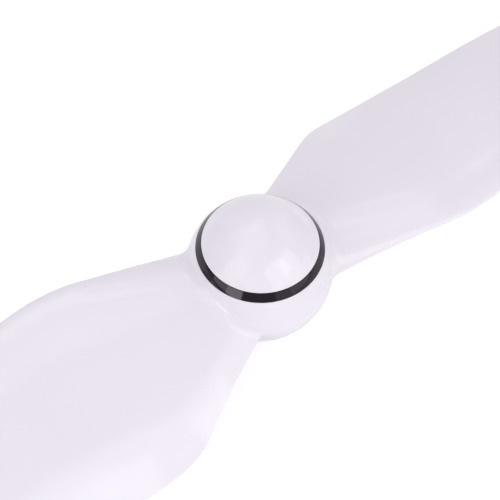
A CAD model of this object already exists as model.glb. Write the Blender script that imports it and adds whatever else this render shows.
import math

import bmesh
import bpy
from mathutils import Matrix, Vector


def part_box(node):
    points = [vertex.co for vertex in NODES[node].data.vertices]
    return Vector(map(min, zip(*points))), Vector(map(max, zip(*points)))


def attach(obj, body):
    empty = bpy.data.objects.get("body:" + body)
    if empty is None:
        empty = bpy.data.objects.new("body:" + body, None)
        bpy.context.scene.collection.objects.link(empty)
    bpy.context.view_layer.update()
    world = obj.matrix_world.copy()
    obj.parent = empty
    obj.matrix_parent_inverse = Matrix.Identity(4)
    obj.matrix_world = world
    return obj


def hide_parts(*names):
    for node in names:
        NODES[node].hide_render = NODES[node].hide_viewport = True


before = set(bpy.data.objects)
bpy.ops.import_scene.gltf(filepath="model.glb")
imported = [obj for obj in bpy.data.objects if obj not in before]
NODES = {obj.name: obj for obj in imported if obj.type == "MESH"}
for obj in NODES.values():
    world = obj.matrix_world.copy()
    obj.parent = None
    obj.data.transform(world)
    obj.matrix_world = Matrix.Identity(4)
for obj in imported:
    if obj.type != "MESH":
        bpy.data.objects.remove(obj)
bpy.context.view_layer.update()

# A two-blade quadcopter propeller, in metres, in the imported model's frame: +Z is the spin axis
# and points away from the motor, the foot is at z = 0, and the blades lie along X.
BALL_CENTRE = Vector((0, 0, 0.006))  # of the ball that the hub, ring and cap follow

scene = bpy.context.scene
scene.view_settings.view_transform = "Standard"
scene.view_settings.look = "None"


# ---- parts of the materials -----------------------------------------------------------------
NOISE_DETAIL = 3.0
NOISE_LOW, NOISE_HIGH = 0.3, 0.7  # most of a noise texture's values lie between these


def new_material(name):
    """(material, its node tree's nodes, its links, its shader)"""
    material = bpy.data.materials.new(name)
    material.use_nodes = True
    nodes, links = material.node_tree.nodes, material.node_tree.links
    return material, nodes, links, nodes["Principled BSDF"]


def object_coords(nodes):
    return nodes.new("ShaderNodeTexCoord").outputs["Object"]


def noise(nodes, links, coords, scale):
    """A cloudy pattern, with patches about 1 / scale metres across."""
    texture = nodes.new("ShaderNodeTexNoise")
    texture.inputs["Scale"].default_value = scale
    texture.inputs["Detail"].default_value = NOISE_DETAIL
    links.new(coords, texture.inputs["Vector"])
    return texture.outputs["Fac"]


def spread(nodes, links, value, low, high):
    """A noise value, stretched to run from low to high."""
    ramp = nodes.new("ShaderNodeMapRange")
    ramp.inputs["From Min"].default_value = NOISE_LOW
    ramp.inputs["From Max"].default_value = NOISE_HIGH
    ramp.inputs["To Min"].default_value = low
    ramp.inputs["To Max"].default_value = high
    links.new(value, ramp.inputs["Value"])
    return ramp.outputs["Result"]


def mottled(nodes, links, coords, scale, one, two):
    """A colour that drifts between two colours."""
    mix = nodes.new("ShaderNodeMix")
    mix.data_type = "RGBA"
    mix.inputs["A"].default_value = (*one, 1)
    mix.inputs["B"].default_value = (*two, 1)
    factor = spread(nodes, links, noise(nodes, links, coords, scale), 0.0, 1.0)
    links.new(factor, mix.inputs["Factor"])
    return mix.outputs["Result"]


def bumped(nodes, links, height, distance):
    bump = nodes.new("ShaderNodeBump")
    bump.inputs["Distance"].default_value = distance
    bump.inputs["Strength"].default_value = 1.0
    links.new(height, bump.inputs["Height"])
    return bump.outputs["Normal"]


# ---- materials ------------------------------------------------------------------------------
FLOW_CLOUD_SCALE = 45.0
SKIN_SCALE, SKIN_DEPTH = 2600.0, 0.0000001
DUST_SCALE, POLISH_SCALE = 700.0, 300.0
STAIN_SCALE, WEAR_SCALE = 500.0, 900.0
MARK_SCALE, MARK_DEPTH = 4500.0, 0.000002  # rings 0.07 mm apart


def moulded(name, light, dark, roughness):
    """Moulded white plastic: faint flow clouds in the colour, and a fine skin."""
    material, nodes, links, shader = new_material(name)
    coords = object_coords(nodes)
    colour = mottled(nodes, links, coords, FLOW_CLOUD_SCALE, dark, light)
    skin = noise(nodes, links, coords, SKIN_SCALE)
    links.new(colour, shader.inputs["Base Color"])
    links.new(spread(nodes, links, skin, *roughness), shader.inputs["Roughness"])
    links.new(bumped(nodes, links, skin, SKIN_DEPTH), shader.inputs["Normal"])
    shader.inputs["IOR"].default_value = 1.5
    return material


def glossy_black(name):
    """Polished black plastic with a little dust. Its reflections are faintly violet."""
    material, nodes, links, shader = new_material(name)
    coords = object_coords(nodes)
    black, dusty = (0.006, 0.002, 0.006), (0.009, 0.004, 0.009)
    colour = mottled(nodes, links, coords, DUST_SCALE, black, dusty)
    polish = noise(nodes, links, coords, POLISH_SCALE)
    links.new(colour, shader.inputs["Base Color"])
    links.new(spread(nodes, links, polish, 0.05, 0.09), shader.inputs["Roughness"])
    shader.inputs["IOR"].default_value = 1.49
    shader.inputs["Specular Tint"].default_value = (0.93, 0.87, 1.0, 1)
    return material


def turned_metal(name):
    """Bare aluminium with faint stains, and turning marks in rings round the axis."""
    material, nodes, links, shader = new_material(name)
    coords = object_coords(nodes)
    stained, clean = (0.7, 0.7, 0.73), (0.8, 0.8, 0.82)
    colour = mottled(nodes, links, coords, STAIN_SCALE, stained, clean)
    wear = noise(nodes, links, coords, WEAR_SCALE)
    marks = nodes.new("ShaderNodeTexWave")
    marks.wave_type = "RINGS"
    marks.rings_direction = "Z"
    marks.inputs["Scale"].default_value = MARK_SCALE
    marks.inputs["Distortion"].default_value = 0.6
    marks.inputs["Detail"].default_value = 1.0
    links.new(coords, marks.inputs["Vector"])
    links.new(colour, shader.inputs["Base Color"])
    links.new(spread(nodes, links, wear, 0.2, 0.34), shader.inputs["Roughness"])
    links.new(bumped(nodes, links, marks.outputs["Fac"], MARK_DEPTH), shader.inputs["Normal"])
    shader.inputs["Metallic"].default_value = 1.0
    return material


NODE_MATERIALS = {
    "blade_pair": moulded("blade plastic", (0.83, 0.79, 0.87), (0.81, 0.77, 0.85), (0.08, 0.11)),
    "dome_cap": moulded("cap plastic", (0.83, 0.79, 0.87), (0.815, 0.775, 0.855), (0.05, 0.07)),
    "colour_ring": glossy_black("black ring plastic"),
}
for node, material in NODE_MATERIALS.items():
    NODES[node].data.materials.clear()
    NODES[node].data.materials.append(material)


# ---- threaded insert ------------------------------------------------------------------------
INSERT_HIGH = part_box("threaded_insert")[1]
INSERT_TOP = INSERT_HIGH.z
FLANGE_R, FLANGE_H = INSERT_HIGH.x, 0.001
HEX_FLAT_R = 0.0036  # half of the distance across the hexagon's flats
GROOVE_R, GROOVE_H = 0.0032, 0.0014
BEVEL = 0.0001
PITCH = 0.001
MINOR_R, MAJOR_R = 0.0025, 0.0030
CREST_FLAT, ROOT_FLAT = 1 / 4, 1 / 8  # of the pitch, at the minor and at the major radius
FLANK = (1 - CREST_FLAT - ROOT_FLAT) / 2  # of the pitch, along the axis
BORE_MOUTH_R = 0.0031  # the bore's chamfer at both ends
STEPS_ROUND = 96
STEPS_PER_PITCH = 16
MERGE_DISTANCE = 0.0000005
SHARP_ANGLE = math.radians(30)


def thread_radius(step):
    """Radius of the thread's profile: crest, flank, root, flank."""
    phase = step % STEPS_PER_PITCH / STEPS_PER_PITCH
    rise = min(max((phase - CREST_FLAT) / FLANK, 0), 1)
    fall = min(max((phase - (1 - FLANK)) / FLANK, 0), 1)
    return MINOR_R + (MAJOR_R - MINOR_R) * (rise - fall)


def hexagon_radius(angle):
    """Distance from the axis to the hexagon's outline. It has a corner at angle 0."""
    return HEX_FLAT_R / math.cos(angle % (math.pi / 3) - math.pi / 6)


def outside_profile(angle):
    """(radius, height) points from the bore's lower mouth, round the outside, to its upper mouth."""
    hexagon_r = hexagon_radius(angle)
    groove_low = (FLANGE_H + INSERT_TOP - GROOVE_H) / 2
    groove_high = groove_low + GROOVE_H
    return [
        (BORE_MOUTH_R, 0),
        (FLANGE_R - BEVEL, 0),
        (FLANGE_R, BEVEL),
        (FLANGE_R, FLANGE_H - BEVEL),
        (FLANGE_R - BEVEL, FLANGE_H),
        (hexagon_r, FLANGE_H),
        (hexagon_r, groove_low),
        (GROOVE_R, groove_low),
        (GROOVE_R, groove_high),
        (hexagon_r, groove_high),
        (hexagon_r, INSERT_TOP - BEVEL),
        (hexagon_r - BEVEL, INSERT_TOP),
        (BORE_MOUTH_R, INSERT_TOP),
    ]


def thread_point(step, angle):
    """(radius, height) on the thread, which is left-hand: it sinks by one pitch anticlockwise."""
    height = PITCH * (step / STEPS_PER_PITCH - angle / (2 * math.pi))
    height = min(max(height, 0), INSERT_TOP)
    chamfer_r = BORE_MOUTH_R - min(height, INSERT_TOP - height)
    return max(thread_radius(step), chamfer_r), height


def add_skin(mesh, profiles, angles, shift=0):
    """A skin over profiles of (radius, height) points, one profile for each angle round the axis.

    Going once round leads from each point to the point that is shift places before it.
    """
    rows = []
    for points in zip(*profiles):
        row = []
        for angle, (radius, height) in zip(angles, points):
            row.append(mesh.verts.new((radius * math.cos(angle), radius * math.sin(angle), height)))
        rows.append(row)
    for j in range(shift, len(rows) - 1):
        low = rows[j] + [rows[j - shift][0]]
        high = rows[j + 1] + [rows[j + 1 - shift][0]]
        for i in range(len(angles)):
            mesh.faces.new((low[i], low[i + 1], high[i + 1], high[i]))


def make_insert():
    mesh = bmesh.new()
    angles = [2 * math.pi * i / STEPS_ROUND for i in range(STEPS_ROUND)]
    # At least a pitch to spare at both ends, where the points lie on the bore's mouths and merge.
    steps = range(-STEPS_PER_PITCH, int(INSERT_TOP / PITCH + 3) * STEPS_PER_PITCH)
    thread = [[thread_point(step, angle) for step in steps] for angle in angles]
    add_skin(mesh, thread, angles, shift=STEPS_PER_PITCH)
    add_skin(mesh, [outside_profile(angle) for angle in angles], angles)
    bmesh.ops.remove_doubles(mesh, verts=mesh.verts, dist=MERGE_DISTANCE)
    bmesh.ops.dissolve_degenerate(mesh, edges=mesh.edges, dist=MERGE_DISTANCE)
    bmesh.ops.delete(mesh, geom=[v for v in mesh.verts if not v.link_faces], context="VERTS")
    bmesh.ops.recalc_face_normals(mesh, faces=mesh.faces)

    data = bpy.data.meshes.new("insert_with_thread")
    mesh.to_mesh(data)
    mesh.free()
    data.shade_smooth()
    data.set_sharp_from_angle(angle=SHARP_ANGLE)
    data.materials.append(turned_metal("turned aluminium"))
    piece = bpy.data.objects.new("insert_with_thread", data)
    scene.collection.objects.link(piece)
    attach(piece, "root")
    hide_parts("threaded_insert")


make_insert()


# ---- floors ---------------------------------------------------------------------------------
FLOOR_SIZE = 6.0
FLOOR_ROUGHNESS = 0.9
FADE_START = 0.25  # of the distance at which the glow ends


def add_floor(name, height, colour, glow, glow_reach):
    """A plain floor that glows under the object. The glow ends glow_reach metres away."""
    bpy.ops.mesh.primitive_plane_add(size=FLOOR_SIZE, location=(0, 0, height))
    floor = bpy.context.object
    floor.name = name
    material, nodes, links, shader = new_material(name)
    shader.inputs["Base Color"].default_value = (colour, colour, colour, 1)
    shader.inputs["Roughness"].default_value = FLOOR_ROUGHNESS
    shader.inputs["Emission Color"].default_value = (1, 1, 1, 1)
    reach = nodes.new("ShaderNodeVectorMath")
    reach.operation = "LENGTH"
    links.new(object_coords(nodes), reach.inputs[0])
    fade = nodes.new("ShaderNodeMapRange")
    fade.interpolation_type = "SMOOTHSTEP"
    fade.inputs["From Min"].default_value = FADE_START * glow_reach
    fade.inputs["From Max"].default_value = glow_reach
    fade.inputs["To Min"].default_value = glow
    fade.inputs["To Max"].default_value = 0.0
    links.new(reach.outputs["Value"], fade.inputs["Value"])
    links.new(fade.outputs["Result"], shader.inputs["Emission Strength"])
    floor.data.materials.append(material)
    return floor


# The floor that shows is white. The one that lights the object from below is a shade darker, so
# that the white object keeps its outline.
shown_floor = add_floor("floor", height=-0.0002, colour=0.8, glow=0.4, glow_reach=4.0)
shown_floor.visible_diffuse = False
shown_floor.visible_glossy = False
shown_floor.visible_shadow = False
bounce_floor = add_floor("bounce_floor", height=-0.0004, colour=0.75, glow=0.26, glow_reach=0.4)
bounce_floor.visible_camera = False


# ---- light ----------------------------------------------------------------------------------
world = bpy.data.worlds.new("studio")
scene.world = world
world.use_nodes = True
world.node_tree.nodes["Background"].inputs["Color"].default_value = (1.0, 0.985, 1.0, 1)
world.node_tree.nodes["Background"].inputs["Strength"].default_value = 0.44

LIGHT_DISTANCE = 1.2
SOFTBOXES = [  # name, azimuth, elevation, width, height, radiance
    ("key", 16, 41, 1.25, 0.85, 1.26),
    ("key_core", 20, 44, 0.32, 0.44, 1.4),
    ("key_skirt", 34, 11, 1.1, 0.45, 0.95),
    ("front_skirt", -2, 9, 0.5, 0.4, 0.5),
    ("left", -90, 38, 0.62, 0.9, 1.1),
    ("left_low", -74, 9, 0.5, 0.3, 3.0),
    ("left_low_far", -98, 9, 0.5, 0.3, 1.3),
    ("left_inner", -58, 30, 0.5, 0.6, 0.4),
    ("top", -160, 75, 1.3, 0.7, 0.7),
    ("back", 172, 55, 1.1, 0.4, 0.8),
    ("back_low", 150, 22, 1.7, 1.1, 0.42),
    ("right_side", 95, 45, 0.8, 0.5, 0.4),
]


def direction(azimuth, elevation):
    """The way from the hub at an azimuth, which is 0 in front and 90 on the right, and an elevation."""
    a, e = math.radians(azimuth), math.radians(elevation)
    return Vector((math.sin(a) * math.cos(e), -math.cos(a) * math.cos(e), math.sin(e)))


def softbox(name, azimuth, elevation, width, height, radiance):
    """A rectangular soft light aimed at the hub."""
    data = bpy.data.lights.new(name, "AREA")
    data.shape = "RECTANGLE"
    data.size = width
    data.size_y = height
    data.energy = radiance * math.pi * width * height
    lamp = bpy.data.objects.new(name, data)
    scene.collection.objects.link(lamp)
    way = direction(azimuth, elevation)
    lamp.location = BALL_CENTRE + way * LIGHT_DISTANCE
    lamp.rotation_mode = "QUATERNION"
    lamp.rotation_quaternion = way.to_track_quat("Z", "Y")
    lamp.visible_camera = False


for box in SOFTBOXES:
    softbox(*box)


# ---- camera ---------------------------------------------------------------------------------
VIEW_AZIMUTH, VIEW_ELEVATION, VIEW_ROLL = -39.0, 57.7, 2.37  # degrees
VIEW_DISTANCE = 0.22
LENS, SENSOR_WIDTH = 116.9, 36.0  # millimetres
SHIFT_X, SHIFT_Y = -0.0188, 0.0352
CLIP_START, CLIP_END = 0.005, 20.0

camera = bpy.data.objects.new("camera", bpy.data.cameras.new("camera"))
scene.collection.objects.link(camera)
scene.camera = camera
camera.data.lens = LENS
camera.data.sensor_width = SENSOR_WIDTH
camera.data.shift_x = SHIFT_X
camera.data.shift_y = SHIFT_Y
camera.data.clip_start = CLIP_START
camera.data.clip_end = CLIP_END
back = direction(VIEW_AZIMUTH, VIEW_ELEVATION)
roll = Matrix.Rotation(math.radians(VIEW_ROLL), 4, "Z").to_quaternion()
camera.location = BALL_CENTRE + back * VIEW_DISTANCE
camera.rotation_mode = "QUATERNION"
camera.rotation_quaternion = back.to_track_quat("Z", "Y") @ roll
